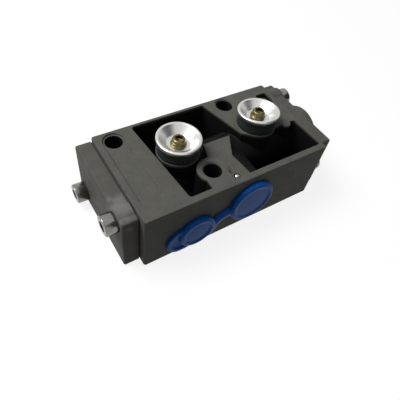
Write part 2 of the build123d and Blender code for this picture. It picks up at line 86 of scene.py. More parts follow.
class NodeSheet:
    """A shader node tree while it is laid out."""

    def __init__(self, tree: bpy.types.NodeTree) -> None:
        """Starts on a tree.

        Args:
            tree: The node tree of a material or of a group.
        """
        self.tree = tree

    def add(self, kind: str, **settings: object) -> bpy.types.Node:
        """Adds a node.

        Args:
            kind: The node's type, without the ShaderNode prefix.
            **settings: Properties of the node.

        Returns:
            The new node.
        """
        node = self.tree.nodes.new("ShaderNode" + kind)
        for name, value in settings.items():
            setattr(node, name, value)
        return node

    def feed(self, target: Socket, value: object) -> None:
        """Links a socket to another, or sets it.

        Args:
            target: The input to fill.
            value: A socket to link from, or a plain value.
        """
        if isinstance(value, bpy.types.NodeSocket):
            self.tree.links.new(value, target)
        elif isinstance(value, tuple) and len(value) == 3 and target.type == "RGBA":
            target.default_value = (*value, 1.0)
        else:
            target.default_value = value

    def math(self, operation: str, *values: object) -> Socket:
        """Adds a Math node.

        Args:
            operation: The node's operation.
            *values: Its inputs in order.

        Returns:
            The node's result.
        """
        node = self.add("Math", operation=operation)
        for target, value in zip(node.inputs, values):
            self.feed(target, value)
        return node.outputs[0]

    def vector(self, operation: str, *values: object) -> Socket:
        """Adds a Vector Math node.

        Args:
            operation: The node's operation.
            *values: Its inputs in order.

        Returns:
            The value for operations that give one, and else the vector.
        """
        node = self.add("VectorMath", operation=operation)
        for target, value in zip(node.inputs, values):
            self.feed(target, value)
        return node.outputs["Value" if operation in ("DOT_PRODUCT", "LENGTH") else "Vector"]

    def step(self, value: Socket, low: float, high: float) -> Socket:
        """Maps a value smoothly to 0 at low and 1 at high.

        Args:
            value: The value to map.
            low: Where the result is 0.
            high: Where the result is 1.

        Returns:
            The mapped value.
        """
        node = self.add("MapRange", interpolation_type="SMOOTHSTEP")
        for name, part in (("Value", value), ("From Min", low), ("From Max", high)):
            self.feed(node.inputs[name], part)
        return node.outputs["Result"]

    def spread(self, value: Socket, low: float, high: float) -> Socket:
        """Maps a value from 0..1 to low..high.

        Args:
            value: The value to map.
            low: The result at 0.
            high: The result at 1.

        Returns:
            The mapped value.
        """
        node = self.add("MapRange")
        for name, part in (("Value", value), ("To Min", low), ("To Max", high)):
            self.feed(node.inputs[name], part)
        return node.outputs["Result"]

    def mix(self, share: object, first: object, second: object) -> Socket:
        """Mixes two colours.

        Args:
            share: Share of the second colour.
            first: The colour at share 0.
            second: The colour at share 1.

        Returns:
            The mixed colour.
        """
        node = self.add("Mix", data_type="RGBA")
        self.feed(node.inputs["Factor"], share)
        colours = [s for s in node.inputs if s.type == "RGBA"]
        self.feed(colours[0], first)
        self.feed(colours[1], second)
        return next(s for s in node.outputs if s.type == "RGBA")

    def noise(self, scale: object, detail: float = 2.0, place: Socket | None = None) -> Socket:
        """Adds a noise texture on Object coordinates.

        Args:
            scale: Features per metre, roughly.
            detail: Octaves of the noise.
            place: Coordinates to use in place of the object's own.

        Returns:
            The noise value, around 0.5.
        """
        node = self.add("TexNoise")
        self.feed(node.inputs["Vector"], place or self.place())
        self.feed(node.inputs["Scale"], scale)
        self.feed(node.inputs["Detail"], detail)
        return node.outputs["Fac"]

    def place(self) -> Socket:
        """Object coordinates."""
        return self.add("TexCoord").outputs["Object"]

    def group(self, tree: bpy.types.NodeTree, **values: object) -> bpy.types.Node:
        """Places a node group.

        Args:
            tree: The group's tree.
            **values: Its inputs, by name with underscores for blanks.

        Returns:
            The group node.
        """
        node = self.add("Group")
        node.node_tree = tree
        for name, value in values.items():
            self.feed(node.inputs[name.replace("_", " ")], value)
        return node


def new_group(
    name: str,
    inputs: dict[str, float],
    outputs: Iterable[str],
    lay: Callable[[NodeSheet, dict[str, Socket]], dict[str, Socket]],
) -> bpy.types.NodeTree:
    """Builds a shader node group once.

    Args:
        name: The group's name.
        inputs: Named float inputs with their usual values.
        outputs: Names of its outputs, floats except for one called Normal.
        lay: Lays the nodes out and returns the socket of each output.

    Returns:
        The group's tree.
    """
    found = bpy.data.node_groups.get(name)
    if found:
        return found
    tree = bpy.data.node_groups.new(name, "ShaderNodeTree")
    for label, value in inputs.items():
        socket = tree.interface.new_socket(name=label, in_out="INPUT", socket_type="NodeSocketFloat")
        socket.default_value = value
    for label in outputs:
        kind = "NodeSocketVector" if label == "Normal" else "NodeSocketFloat"
        tree.interface.new_socket(name=label, in_out="OUTPUT", socket_type=kind)
    sheet = NodeSheet(tree)
    entry = tree.nodes.new("NodeGroupInput")
    leave = tree.nodes.new("NodeGroupOutput")
    made = lay(sheet, {label: entry.outputs[label] for label in inputs})
    for label, socket in made.items():
        tree.links.new(socket, leave.inputs[label])
    return tree


def cast_grain() -> bpy.types.NodeTree:
    """Fine grain of a blasted casting: its height and a soft mottle."""

    def lay(sheet: NodeSheet, given: dict[str, Socket]) -> dict[str, Socket]:
        """Lays the two layers of noise."""
        fine = sheet.noise(given["Scale"], 4.0)
        coarse = sheet.noise(sheet.math("MULTIPLY", given["Scale"], 0.08), 3.0)
        height = sheet.math("ADD", fine, sheet.math("MULTIPLY", coarse, 0.3))
        mottle = sheet.math("ADD", sheet.math("MULTIPLY", fine, 0.74), sheet.math("MULTIPLY", coarse, 0.26))
        return {"Height": height, "Mottle": sheet.step(mottle, 0.3, 0.7)}

    return new_group("cast_grain", {"Scale": 2600.0}, ("Height", "Mottle"), lay)


def soft_edge() -> bpy.types.NodeTree:
    """Normal of a surface whose edges have a small round, as a casting or moulding leaves them."""

    def lay(sheet: NodeSheet, given: dict[str, Socket]) -> dict[str, Socket]:
        """Takes the bevelled normal."""
        bevel = sheet.add("Bevel", samples=6)
        sheet.feed(bevel.inputs["Radius"], given["Radius"])
        return {"Normal": bevel.outputs["Normal"]}

    return new_group("soft_edge", {"Radius": 0.0005}, ("Normal",), lay)


def edge_wear() -> bpy.types.NodeTree:
    """Mask of edges worn by rubbing, broken up by noise."""

    def lay(sheet: NodeSheet, given: dict[str, Socket]) -> dict[str, Socket]:
        """Compares the surface with its bevelled self."""
        bevel = sheet.add("Bevel", samples=6)
        sheet.feed(bevel.inputs["Radius"], given["Width"])
        facing = sheet.vector("DOT_PRODUCT", bevel.outputs["Normal"], sheet.add("NewGeometry").outputs["Normal"])
        edge = sheet.step(sheet.math("SUBTRACT", 1.0, facing), 0.01, 0.22)
        patchy = sheet.step(sheet.noise(given["Break Up"], 3.0), 0.38, 0.62)
        return {"Wear": sheet.math("MULTIPLY", sheet.math("MULTIPLY", edge, patchy), given["Amount"])}

    return new_group("edge_wear", {"Width": 0.0005, "Break Up": 500.0, "Amount": 0.6}, ("Wear",), lay)


def settled_dust() -> bpy.types.NodeTree:
    """Mask of pale dust on faces that look up."""

    def lay(sheet: NodeSheet, given: dict[str, Socket]) -> dict[str, Socket]:
        """Takes the upward share of the normal and breaks it up."""
        up = sheet.add("SeparateXYZ")
        sheet.feed(up.inputs[0], sheet.add("NewGeometry").outputs["Normal"])
        flat = sheet.step(up.outputs["Z"], 0.55, 0.98)
        patchy = sheet.step(sheet.noise(160.0, 4.0), 0.36, 0.7)
        return {"Dust": sheet.math("MULTIPLY", sheet.math("MULTIPLY", flat, patchy), given["Amount"])}

    return new_group("settled_dust", {"Amount": 0.2}, ("Dust",), lay)


def turned_rings() -> bpy.types.NodeTree:
    """Fine rings that a lathe leaves round an upright axis."""

    def lay(sheet: NodeSheet, given: dict[str, Socket]) -> dict[str, Socket]:
        """Lays a wave over the distance from the axis."""
        split = sheet.add("SeparateXYZ")
        sheet.feed(split.inputs[0], sheet.place())
        across = sheet.math("SUBTRACT", split.outputs["X"], given["Centre X"])
        along = sheet.math("SUBTRACT", split.outputs["Y"], given["Centre Y"])
        squares = sheet.math("ADD", sheet.math("MULTIPLY", across, across), sheet.math("MULTIPLY", along, along))
        radius = sheet.math("SQRT", squares)
        wobble = sheet.math("MULTIPLY", sheet.noise(900.0, 2.0), 3.0)
        phase = sheet.math("ADD", sheet.math("MULTIPLY", radius, given["Rings"]), wobble)
        return {"Height": sheet.math("SINE", phase)}

    values = {"Centre X": 0.0, "Centre Y": 0.0, "Rings": 24000.0}
    return new_group("turned_rings", values, ("Height",), lay)


def painted_pocket_shade() -> bpy.types.NodeTree:
    """Mask of painted shade in the pockets below the top of a block: darker with depth, and on steep walls just below
    the rim.
    """

    def lay(sheet: NodeSheet, given: dict[str, Socket]) -> dict[str, Socket]:
        """Limits the place in X, Y and Z."""
        split = sheet.add("SeparateXYZ")
        sheet.feed(split.inputs[0], sheet.place())
        inside_x = sheet.math("LESS_THAN", sheet.math("ABSOLUTE", split.outputs["X"]), given["Half X"])
        inside_y = sheet.math("LESS_THAN", sheet.math("ABSOLUTE", split.outputs["Y"]), given["Half Y"])
        inside = sheet.math("MULTIPLY", inside_x, inside_y)
        above = sheet.math("GREATER_THAN", split.outputs["Z"], given["Bottom"])
        inside = sheet.math("MULTIPLY", inside, above)
        # Painted shade: darker with depth below the top, and on steep walls just below the rim.
        depth = sheet.math("SUBTRACT", given["Top"], split.outputs["Z"])
        deep = sheet.step(sheet.math("DIVIDE", depth, given["Fade"]), 0.0, 1.0)
        facing = sheet.add("SeparateXYZ")
        sheet.feed(facing.inputs[0], sheet.add("NewGeometry").outputs["Normal"])
        wall = sheet.step(facing.outputs["Z"], 0.8, 0.4)
        low = sheet.step(sheet.math("SUBTRACT", given["Rim"], split.outputs["Z"]), 0.0, 0.0016)
        return {"Painted Shade": sheet.math("MULTIPLY", inside, sheet.math("MAXIMUM", deep, sheet.math("MULTIPLY", wall, low)))}

    values = {"Half X": 0.0505, "Half Y": 0.0265, "Bottom": 0.001, "Top": 0.0334, "Fade": 0.003, "Rim": 0.0352}
    return new_group("painted_pocket_shade", values, ("Painted Shade",), lay)


def die_marks() -> bpy.types.NodeTree:
    """Height of the marks that a die leaves on a block: sunken ejector pins and a parting line."""

    def lay(sheet: NodeSheet, given: dict[str, Socket]) -> dict[str, Socket]:
        """Folds the place to one pin for the back face and one for the underside."""
        split = sheet.add("SeparateXYZ")
        sheet.feed(split.inputs[0], sheet.place())
        x, y, z = (split.outputs[axis] for axis in "XYZ")

        def pin(across: Socket, along: Socket, face: Socket) -> Socket:
            """Marks a sunken disc on a face, from two distances to its middle."""
            far = sheet.math("SQRT", sheet.math("ADD", sheet.math("POWER", across, 2.0), sheet.math("POWER", along, 2.0)))
            disc = sheet.step(sheet.math("DIVIDE", far, given["Pin"]), 1.06, 0.94)
            return sheet.math("MULTIPLY", disc, face)

        def folded(value: Socket, middle: object, reach: object) -> Socket:
            """Distance of a value from two places that lie as far from a middle."""
            return sheet.math("SUBTRACT", sheet.math("ABSOLUTE", sheet.math("SUBTRACT", value, middle)), reach)

        back = sheet.math("GREATER_THAN", y, 0.0277)
        under = sheet.math("LESS_THAN", z, 0.0003)
        pins = sheet.math("ADD", pin(folded(x, 0.0, 0.041), folded(z, 0.0177, 0.0095), back),
                          pin(folded(x, 0.0, 0.044), folded(y, 0.0, 0.019), under))
        line = sheet.math("ABSOLUTE", sheet.math("SUBTRACT", z, given["Line"]))
        ragged = sheet.math("MULTIPLY", sheet.noise(700.0, 3.0), 0.0003)
        flash = sheet.step(sheet.math("ADD", line, ragged), 0.00042, 0.00018)
        side = sheet.math("GREATER_THAN", sheet.math("ABSOLUTE", y), 0.0277)
        ridge = sheet.math("MULTIPLY", flash, sheet.math("MULTIPLY", side, 0.35))
        return {"Height": sheet.math("SUBTRACT", ridge, pins)}

    return new_group("die_marks", {"Pin": 0.0026, "Line": 0.0042}, ("Height",), lay)


def polish_and_highlight_patch() -> bpy.types.NodeTree:
    """Mask of a patch that handling has polished, broken up by noise; it serves for a lower roughness and for a
    painted highlight in the colour.
    """

    def lay(sheet: NodeSheet, given: dict[str, Socket]) -> dict[str, Socket]:
        """Compares the distance from the patch's middle with its radius."""
        middle = sheet.add("CombineXYZ")
        for axis in "XYZ":
            sheet.feed(middle.inputs[axis], given[axis])
        away = sheet.vector("LENGTH", sheet.vector("SUBTRACT", sheet.place(), middle.outputs[0]))
        ragged = sheet.math("MULTIPLY", sheet.math("SUBTRACT", sheet.noise(260.0, 4.0), 0.5), 1.6)
        share = sheet.math("ADD", sheet.math("DIVIDE", away, given["Radius"]), ragged)
        return {"Polish And Highlight": sheet.math("MULTIPLY", sheet.step(share, 1.05, 0.2), given["Amount"])}

    values = {"X": 0.0, "Y": 0.0, "Z": 0.0, "Radius": 0.008, "Amount": 0.0}
    return new_group("polish_and_highlight_patch", values, ("Polish And Highlight",), lay)


def new_material(name: str) -> tuple[bpy.types.Material, NodeSheet, bpy.types.Node]:
    """Starts a material.

    Args:
        name: The material's name.

    Returns:
        The material, its sheet and its Principled shader.
    """
    material = bpy.data.materials.new(name)
    material.use_nodes = True
    return material, NodeSheet(material.node_tree), material.node_tree.nodes["Principled BSDF"]


def raise_grain(
    sheet: NodeSheet,
    shader: bpy.types.Node,
    height: Socket,
    depth: float,
    strength: float,
    edge: float = 0.0,
    marks: float = 0.0,
) -> None:
    """Feeds a height to a shader's normal.

    Args:
        sheet: The material's sheet.
        shader: The shader to feed.
        height: The height, about 0 to 1.
        depth: Real depth of that height, in metres.
        strength: Share of the effect.
        edge: Round of the edges under the grain, in metres.
        marks: Depth of the die's marks under the grain, in metres.
    """
    bump = sheet.add("Bump")
    if edge:
        sheet.feed(bump.inputs["Normal"], sheet.group(soft_edge(), Radius=edge).outputs["Normal"])
    if marks:
        under = sheet.add("Bump")
        under.inputs["Distance"].default_value = marks
        sheet.feed(under.inputs["Height"], sheet.group(die_marks()).outputs["Height"])
        if edge:
            sheet.feed(under.inputs["Normal"], bump.inputs["Normal"].links[0].from_socket)
        sheet.feed(bump.inputs["Normal"], under.outputs["Normal"])
    bump.inputs["Distance"].default_value = depth
    bump.inputs["Strength"].default_value = strength
    sheet.feed(bump.inputs["Height"], height)
    sheet.feed(shader.inputs["Normal"], bump.outputs["Normal"])


@dataclass(frozen=True)
class CastFinish:
    """Dark coated die casting, with a fine blasted grain, edges worn pale by rubbing, painted shade in its pockets and
    a painted highlight on a polished patch.
    """

    name: str
    skin: Colour
    worn: Colour = (0.21, 0.205, 0.19)
    dust: Colour = (0.2, 0.195, 0.175)
    # Colour of the painted shade in the pockets.
    pocket_shade_colour: Colour = (0.006, 0.006, 0.0065)
    roughness: float = 0.62
    grain: float = 2600.0
    grain_depth: float = 0.06 * MM
    wear_width: float = 0.45 * MM
    wear_amount: float = 0.45
    dust_amount: float = 0.1
    # Share of the painted shade in the pockets; 0 leaves none.
    recess: float = 1.0
    edge_round: float = 0.6 * MM
    marks: float = 0.0
    # Middle and share of a polished patch: lower roughness there, and a painted highlight in the colour.
    polish_and_highlight_at: tuple[float, float, float] = (0.0, 0.0, 0.0)
    polish_and_highlight: float = 0.0

    def material(self) -> bpy.types.Material:
        """Builds the material.

        Returns:
            The finished material.
        """
        material, sheet, shader = new_material(self.name)
        grain = sheet.group(cast_grain(), Scale=self.grain)
        wear = sheet.group(edge_wear(), Width=self.wear_width, Amount=self.wear_amount)
        dust = sheet.group(settled_dust(), Amount=self.dust_amount)
        darker = tuple(0.86 * part for part in self.skin)
        paler = tuple(1.14 * part for part in self.skin)
        colour = sheet.mix(grain.outputs["Mottle"], darker, paler)
        colour = sheet.mix(dust.outputs["Dust"], colour, self.dust)
        # Painted shade: the pockets darken towards the pocket shade colour.
        recess = sheet.group(painted_pocket_shade())
        deep = sheet.math("MULTIPLY", recess.outputs["Painted Shade"], self.recess)
        colour = sheet.mix(deep, colour, self.pocket_shade_colour)
        colour = sheet.mix(wear.outputs["Wear"], colour, self.worn)
        # Polished patch: a painted highlight, mixed towards the worn colour, and below it a lower roughness.
        x, y, z = self.polish_and_highlight_at
        patch = sheet.group(polish_and_highlight_patch(), X=x, Y=y, Z=z, Radius=11.0 * MM, Amount=self.polish_and_highlight)
        colour = sheet.mix(patch.outputs["Polish And Highlight"], colour, self.worn)
        sheet.feed(shader.inputs["Base Color"], colour)
        rough = sheet.spread(grain.outputs["Mottle"], self.roughness + 0.08, self.roughness - 0.06)
        polish = sheet.math("MULTIPLY", patch.outputs["Polish And Highlight"], 0.2)
        sheet.feed(shader.inputs["Roughness"], sheet.math("SUBTRACT", rough, polish))
        shader.inputs["Specular IOR Level"].default_value = 0.09
        raise_grain(sheet, shader, grain.outputs["Height"], self.grain_depth, 0.55, self.edge_round, self.marks)
        return material


@dataclass(frozen=True)
class MetalFinish:
    """Bare or plated metal, with lathe rings round an upright axis where it was turned."""

    name: str
    colour: Colour
    tarnish: Colour
    roughness: float
    rings: float = 0.0
    centre: tuple[float, float] = (0.0, 0.0)
    ring_depth: float = 0.004 * MM
    grain: float = 3500.0
    grain_depth: float = 0.01 * MM
    wear_amount: float = 0.3

    def material(self) -> bpy.types.Material:
        """Builds the material.

        Returns:
            The finished material.
        """
        material, sheet, shader = new_material(self.name)
        shader.inputs["Metallic"].default_value = 1.0
        grain = sheet.group(cast_grain(), Scale=self.grain)
        wear = sheet.group(edge_wear(), Width=0.25 * MM, Amount=self.wear_amount)
        colour = sheet.mix(grain.outputs["Mottle"], self.colour, self.tarnish)
        paler = tuple(min(1.0, 1.12 * part) for part in self.colour)
        colour = sheet.mix(wear.outputs["Wear"], colour, paler)
        sheet.feed(shader.inputs["Base Color"], colour)
        rough = sheet.spread(grain.outputs["Mottle"], self.roughness - 0.05, self.roughness + 0.07)
        sheet.feed(shader.inputs["Roughness"], rough)
        if not self.rings:
            raise_grain(sheet, shader, grain.outputs["Height"], self.grain_depth, 0.5)
            return material
        rings = sheet.group(turned_rings(), Centre_X=self.centre[0], Centre_Y=self.centre[1], Rings=self.rings)
        raise_grain(sheet, shader, rings.outputs["Height"], self.ring_depth, 0.7)
        return material


@dataclass(frozen=True)
class MouldedFinish:
    """Moulded plastic or rubber with a faint flow mottle."""

    name: str
    colour: Colour
    shade: Colour
    roughness: float
    grain: float = 1500.0
    grain_depth: float = 0.02 * MM
    dust_amount: float = 0.0
    gloss: float = 0.09

    def material(self) -> bpy.types.Material:
        """Builds the material.

        Returns:
            The finished material.
        """
        material, sheet, shader = new_material(self.name)
        grain = sheet.group(cast_grain(), Scale=self.grain)
        colour = sheet.mix(grain.outputs["Mottle"], self.shade, self.colour)
        dust = sheet.group(settled_dust(), Amount=self.dust_amount)
        colour = sheet.mix(dust.outputs["Dust"], colour, (0.35, 0.35, 0.34))
        sheet.feed(shader.inputs["Base Color"], colour)
        rough = sheet.spread(grain.outputs["Mottle"], self.roughness + 0.05, self.roughness - 0.05)
        sheet.feed(shader.inputs["Roughness"], rough)
        shader.inputs["Specular IOR Level"].default_value = self.gloss
        raise_grain(sheet, shader, grain.outputs["Height"], self.grain_depth, 0.4)
        return material


class Bench:
    """Modelling moves that several sub-assemblies share."""

    @staticmethod
    def clear() -> None:
        """Deselects everything and leaves edit mode."""
        if bpy.context.object and bpy.context.object.mode != "OBJECT":
            bpy.ops.object.mode_set(mode="OBJECT")
        bpy.ops.object.select_all(action="DESELECT")

    @staticmethod
    def spun(name: str, stations: Sequence[tuple[float, float]], sides: int, solid: bool) -> bpy.types.Object:
        """Draws a turned form by extruding a ring from station to station.

        Args:
            name: The new object's name.
            stations: Radius and height of each ring, in order round the section.
            sides: Corners of each ring.
            solid: Whether the first and last rings are filled. If not, they meet.

        Returns:
            The new object, upright on the origin.
        """
        Bench.clear()
        radius, height = stations[0]
        fill = "NGON" if solid else "NOTHING"
        bpy.ops.mesh.primitive_circle_add(
            vertices=sides, radius=radius, fill_type=fill, location=(0, 0, height)
        )
        piece = bpy.context.object
        piece.name = name
        bpy.ops.object.transform_apply(location=True, rotation=True, scale=True)
        bpy.ops.object.mode_set(mode="EDIT")
        for next_radius, next_height in stations[1:]:
            move = {"value": (0, 0, next_height - height)}
            bpy.ops.mesh.extrude_region_move(TRANSFORM_OT_translate=move)
            share = next_radius / radius
            bpy.ops.transform.resize(value=(share, share, 1), center_override=(0, 0, next_height))
            radius, height = next_radius, next_height
        bpy.ops.mesh.select_all(action="SELECT")
        bpy.ops.mesh.remove_doubles(threshold=0.0001 * MM)
        bpy.ops.mesh.normals_make_consistent(inside=False)
        bpy.ops.object.mode_set(mode="OBJECT")
        return piece

    @staticmethod
    def cut(piece: bpy.types.Object, tool: bpy.types.Object) -> None:
        """Cuts a tool's shape out of a piece and removes the tool.

        Args:
            piece: The piece to cut.
            tool: The shape to take away.
        """
        Bench.clear()
        cutter = piece.modifiers.new("cut", "BOOLEAN")
        cutter.operation = "DIFFERENCE"
        cutter.solver = "EXACT"
        cutter.object = tool
        bpy.context.view_layer.objects.active = piece
        piece.select_set(True)
        bpy.ops.object.modifier_apply(modifier=cutter.name)
        bpy.data.objects.remove(tool)

    @staticmethod
    def join(name: str, pieces: Sequence[bpy.types.Object]) -> bpy.types.Object:
        """Joins pieces into one object.

        Args:
            name: Name of the joined object.
            pieces: What to join.

        Returns:
            The joined object.
        """
        Bench.clear()
        for piece in pieces:
            piece.select_set(True)
        bpy.context.view_layer.objects.active = pieces[0]
        bpy.ops.object.join()
        pieces[0].name = name
        return pieces[0]

    @staticmethod
    def put(piece: bpy.types.Object, place: Vector, turn: Matrix | None = None) -> None:
        """Moves a piece into place and writes the place into its mesh.

        Args:
            piece: The piece to move.
            place: Where its origin goes.
            turn: Its rotation, if any.
        """
        Bench.clear()
        piece.matrix_world = Matrix.Translation(place) @ (turn.to_4x4() if turn else Matrix.Identity(4))
        piece.select_set(True)
        bpy.context.view_layer.objects.active = piece
        bpy.ops.object.transform_apply(location=True, rotation=True, scale=True)

    @staticmethod
    def finish(
        piece: bpy.types.Object,
        material: bpy.types.Material,
        slot: str,
        body: Body = Body.HOUSING,
        stands_for: Sequence[str] = (),
        smooth_angle: float = 32.0,
    ) -> bpy.types.Object:
        """Smooths and dresses a finished piece and hangs it on its body.

        Args:
            piece: The piece.
            material: Its material.
            slot: The record's slot of that material; not used.
            body: The body it rides on.
            stands_for: Nodes that it replaces.
            smooth_angle: Edges sharper than this stay sharp, in degrees.

        Returns:
            The piece.
        """
        Bench.clear()
        piece.select_set(True)
        bpy.context.view_layer.objects.active = piece
        bpy.ops.object.shade_smooth_by_angle(angle=math.radians(smooth_angle))
        piece.data.materials.clear()
        piece.data.materials.append(material)
        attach(piece, body.value)
        if stands_for:
            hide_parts(*stands_for)
        log.info("%s: %d faces on %s", piece.name, len(piece.data.polygons), body.value)
        return piece


def arc(centre: tuple[float, float], radius: float, start: float, end: float, steps: int) -> list[tuple[float, float]]:
    """Points on an arc of a section.

    Args:
        centre: Radius and height of its centre.
        radius: Its radius.
        start: Start angle in degrees, from the outward direction.
        end: End angle in degrees.
        steps: How many stretches it has.

    Returns:
        Radius and height of each point.
    """
    angles = [math.radians(start + (end - start) * i / steps) for i in range(steps + 1)]
    return [(centre[0] + radius * math.cos(a), centre[1] + radius * math.sin(a)) for a in angles]


@dataclass
class ExhaustPost:
    """A vented post: spun cap, collared screw and porous sleeve."""

    side: Side
    sheet: float = 0.9 * MM
    rim_round: float = 0.65 * MM
    rim_radius: float = 11.0 * MM
    rim_width: float = 1.3 * MM
    dish_depth: float = 4.1 * MM
    dish_flat: float = 4.6 * MM
    skirt: float = 1.8 * MM
    hole_radius: float = 3.0 * MM
    lean: dict[Side, float] = field(default_factory=lambda: {Side.LEFT: 0.0, Side.RIGHT: -5.5})
    shank_radius: float = 2.4 * MM
    collar_radius: float = 3.9 * MM
    collar: float = 0.8 * MM
    head_radius: float = 3.25 * MM
    head_height: float = 3.6 * MM
    recess_radius: float = 2.27 * MM
    recess_depth: float = 2.0 * MM
    node_head: float = 3.9 * MM
    ring_sides: int = 128

    @property
    def middle(self) -> Vector:
        """Where the screw's axis meets the height of the screw's tip."""
        low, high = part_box(self.side.node("torx_screw"))
        return Vector(((low.x + high.x) / 2, (low.y + high.y) / 2, low.z))

    def cap_section(self) -> list[tuple[float, float]]:
        """Section of the cap, with its dish floor at height 0.

        Returns:
            Radius and height of each point, from the hole's underside round to the hole again.
        """
        rim = self.dish_depth
        edge = self.rim_radius - self.rim_width
        inner = self.rim_radius - self.sheet
        roll = self.rim_round
        section = [(self.hole_radius, -self.sheet), (self.dish_flat, -self.sheet)]
        section += [(edge, rim - self.sheet), (inner, rim - self.sheet), (inner, rim - self.skirt)]
        section += arc((self.rim_radius - self.sheet / 2, rim - self.skirt), self.sheet / 2, 180, 360, 6)
        section += arc((self.rim_radius - roll, rim - roll), roll, 0, 90, 7)
        section += arc((edge + roll * 0.45, rim - roll), roll, 90, 140, 5)
        section += arc((self.dish_flat + 0.6 * MM, 1.35 * MM), 1.35 * MM, 310, 268, 5)
        section += [(self.hole_radius, 0.0), (self.hole_radius, -self.sheet)]
        return section

    def cap(self, material: bpy.types.Material) -> bpy.types.Object:
        """Models the cap.

        Args:
            material: Its material.

        Returns:
            The cap.
        """
        name = self.side.node("spun_cap")
        piece = Bench.spun(name, self.cap_section(), self.ring_sides, solid=False)
        low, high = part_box(self.side.node("dished_cap"))
        floor = Vector(((low.x + high.x) / 2, self.middle.y, 39.6 * MM))
        Bench.put(piece, floor, Matrix.Rotation(math.radians(self.lean[self.side]), 3, "X"))
        return Bench.finish(piece, material, "spun_aluminium", stands_for=[self.side.node("dished_cap")])

    def lobed_tool(self) -> bpy.types.Object:
        """Models the cutter of the six lobed recess, standing on the origin.

        Returns:
            The cutter.
        """
        Bench.clear()
        deep = 2 * self.recess_depth
        bpy.ops.mesh.primitive_cylinder_add(vertices=12, radius=self.recess_radius, depth=deep)
        tool = bpy.context.object
        bpy.ops.object.mode_set(mode="EDIT")
        bpy.ops.mesh.select_all(action="DESELECT")
        bpy.ops.object.mode_set(mode="OBJECT")
        for vertex in tool.data.vertices:
            turn = round(math.degrees(math.atan2(vertex.co.y, vertex.co.x)) / 30)
            vertex.select = turn % 2 == 1
        bpy.ops.object.mode_set(mode="EDIT")
        bpy.ops.transform.resize(value=(0.74, 0.74, 1), center_override=(0, 0, 0))
        bpy.ops.object.mode_set(mode="OBJECT")
        rounding = tool.modifiers.new("round", "BEVEL")
        rounding.width = 0.3 * MM
        rounding.segments = 3
        rounding.limit_method = "ANGLE"
        rounding.angle_limit = math.radians(30)
        bpy.ops.object.modifier_apply(modifier=rounding.name)
        return tool

    def screw(self, material: bpy.types.Material) -> bpy.types.Object:
        """Models the collared pan head screw.

        Args:
            material: Its material.

        Returns:
            The screw.
        """
        low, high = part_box(self.side.node("torx_screw"))
        seat = high.z - low.z - self.node_head
        top = seat + self.head_height
        crown = 1.0 * MM
        edge = 0.3 * MM
        section = [(self.shank_radius - edge, 0.0), (self.shank_radius, edge), (self.shank_radius, seat)]
        section += [(self.collar_radius - edge, seat)]
        section += arc((self.collar_radius - edge, seat + edge), edge, 270, 360, 3)
        section += arc((self.collar_radius - edge, seat + self.collar - edge), edge, 0, 80, 3)
        section += [(self.head_radius + edge, seat + self.collar), (self.head_radius, seat + self.collar + edge)]
        section += arc((self.head_radius - crown, top - crown), crown, 0, 90, 7)
        piece = Bench.spun(self.side.node("collared_screw"), section, 72, solid=True)
        tool = self.lobed_tool()
        Bench.put(tool, Vector((0, 0, top)))
        Bench.cut(piece, tool)
        Bench.put(piece, self.middle)
        return Bench.finish(piece, material, "yellow_zinc", stands_for=[self.side.node("torx_screw")])


@dataclass
class CoverScrews:
    """The two cylinder head screws of an end cover."""

    side: Side
    head_radius: float = 5.0 * MM
    head_height: float = 6.0 * MM
    shank_radius: float = 2.9 * MM
    shank_length: float = 19.0 * MM
    flutes: int = 44
    flute_share: float = 0.988
    socket_radius: float = 2.89 * MM
    socket_depth: float = 3.0 * MM

    def one(self, index: int) -> bpy.types.Object:
        """Models a screw along +Z, with the underside of its head at height 0.

        Args:
            index: Number for its name.

        Returns:
            The screw.
        """
        edge = 0.5 * MM
        top = self.head_height
        section = [(self.shank_radius - edge, -self.shank_length), (self.shank_radius, edge - self.shank_length)]
        section += [(self.shank_radius, 0.0), (self.head_radius - edge / 2, 0.0), (self.head_radius, edge)]
        section += [(self.head_radius, top - 2 * edge)]
        section += arc((self.head_radius - edge, top - edge), edge, 0, 90, 5)
        piece = Bench.spun(f"screw_{index}", section, 2 * self.flutes, solid=True)
        Bench.clear()
        bpy.context.view_layer.objects.active = piece
        bpy.ops.object.mode_set(mode="EDIT")
        bpy.ops.mesh.select_all(action="DESELECT")
        bpy.ops.object.mode_set(mode="OBJECT")
        for vertex in piece.data.vertices:
            radius = math.hypot(vertex.co.x, vertex.co.y)
            number = round(math.atan2(vertex.co.y, vertex.co.x) * self.flutes / math.pi)
            on_side = radius > self.head_radius - 0.01 * MM and vertex.co.z < top - edge
            vertex.select = on_side and number % 2 == 0
        bpy.ops.object.mode_set(mode="EDIT")
        share = self.flute_share
        bpy.ops.transform.resize(value=(share, share, 1), center_override=(0, 0, 0))
        bpy.ops.object.mode_set(mode="OBJECT")
        Bench.clear()
        deep = 2 * self.socket_depth
        bpy.ops.mesh.primitive_cylinder_add(vertices=6, radius=self.socket_radius, depth=deep, location=(0, 0, top))
        Bench.cut(piece, bpy.context.object)
        return piece

    def pair(self, material: bpy.types.Material) -> bpy.types.Object:
        """Models both screws in place.

        Args:
            material: Their material.

        Returns:
            The two screws as one piece.
        """
        node = self.side.node("cover_screws")
        low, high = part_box(node)
        reach = self.head_radius
        high_y = low.y + reach if self.side is Side.LEFT else high.y - reach
        low_y = high.y - reach if self.side is Side.LEFT else low.y + reach
        end = (low.x if self.side is Side.LEFT else high.x) - self.side.way * self.head_height
        turn = Matrix.Rotation(math.radians(90 * self.side.way), 3, "Y")
        screws = []
        for index, (y, z) in enumerate(((high_y, high.z - reach), (low_y, low.z + reach))):
            screw = self.one(index)
            Bench.put(screw, Vector((end, y, z)), turn)
            screws.append(screw)
        piece = Bench.join(self.side.node("cylinder_screws"), screws)
        return Bench.finish(piece, material, "zinc_screw", stands_for=[node])


